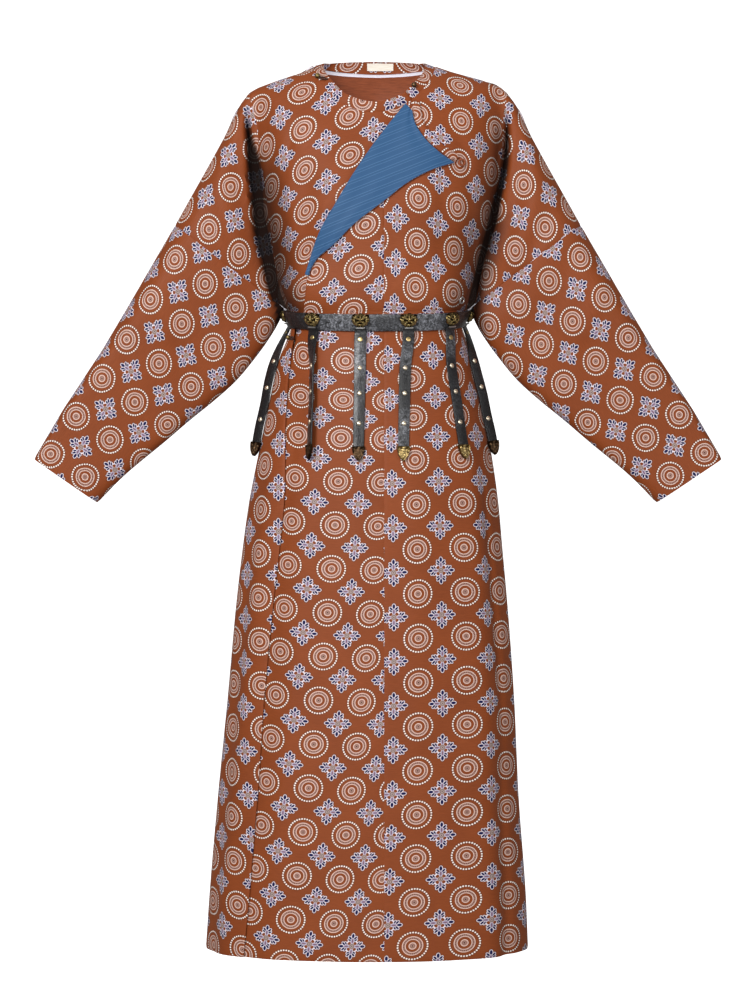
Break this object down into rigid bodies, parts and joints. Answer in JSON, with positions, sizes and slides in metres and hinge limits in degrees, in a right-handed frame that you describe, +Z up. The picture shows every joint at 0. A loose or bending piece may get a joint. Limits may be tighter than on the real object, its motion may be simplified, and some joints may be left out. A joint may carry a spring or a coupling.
{
  "type": "round-collar robe",
  "caption": "Round-collar robe in worn, hollow form with one corner of its front turned out, and a leather belt with hanging straps.",
  "frame": {"origin": "between the shoulders, where the wearer carries the robe, on the level of the collar's back seam less 10 mm", "axes": "+Z up towards the collar, -Y out of the front, +X to the wearer's left"},
  "size_m": [1.0306, 0.3085, 1.3327],
  "materials": {
    "robe": "rust-orange satin weave with woven roundels and flower crosses",
    "collar": "rust-orange satin strip",
    "blue": "blue underside with fine ribs",
    "white": "plain white lining",
    "label": "blank woven label",
    "leather": "black leather, worn gloss",
    "brass": "antique brass",
    "silver": "silver-coloured wire"
  },
  "bodies": {
    "root": {"body_right": "robe", "body_left": "robe", "front_overlap": "robe", "inner_overlap": "robe", "side_lap": "robe", "sleeve_right": "robe", "sleeve_left": "robe", "collar_band": "collar", "lapel_turned": "robe", "lapel_facing": "blue", "lapel_band": "collar", "neck_lining": "white", "label": "label", "neck_button_right": "brass", "neck_button_left": "brass", "hip_button": "brass", "lapel_loop": "collar", "belt": "leather", "belt_ring": "silver", "boss_1": "brass", "strap_1": "leather", "strap_tip_1": "brass", "boss_2": "brass", "strap_2": "leather", "strap_tip_2": "brass", "boss_3": "brass", "strap_3": "leather", "strap_tip_3": "brass", "boss_4": "brass", "strap_4": "leather", "strap_tip_4": "brass", "boss_5": "brass", "strap_5": "leather", "strap_tip_5": "brass", "boss_6": "brass", "strap_6": "leather", "strap_tip_6": "brass"}
  },
  "joints": []
}
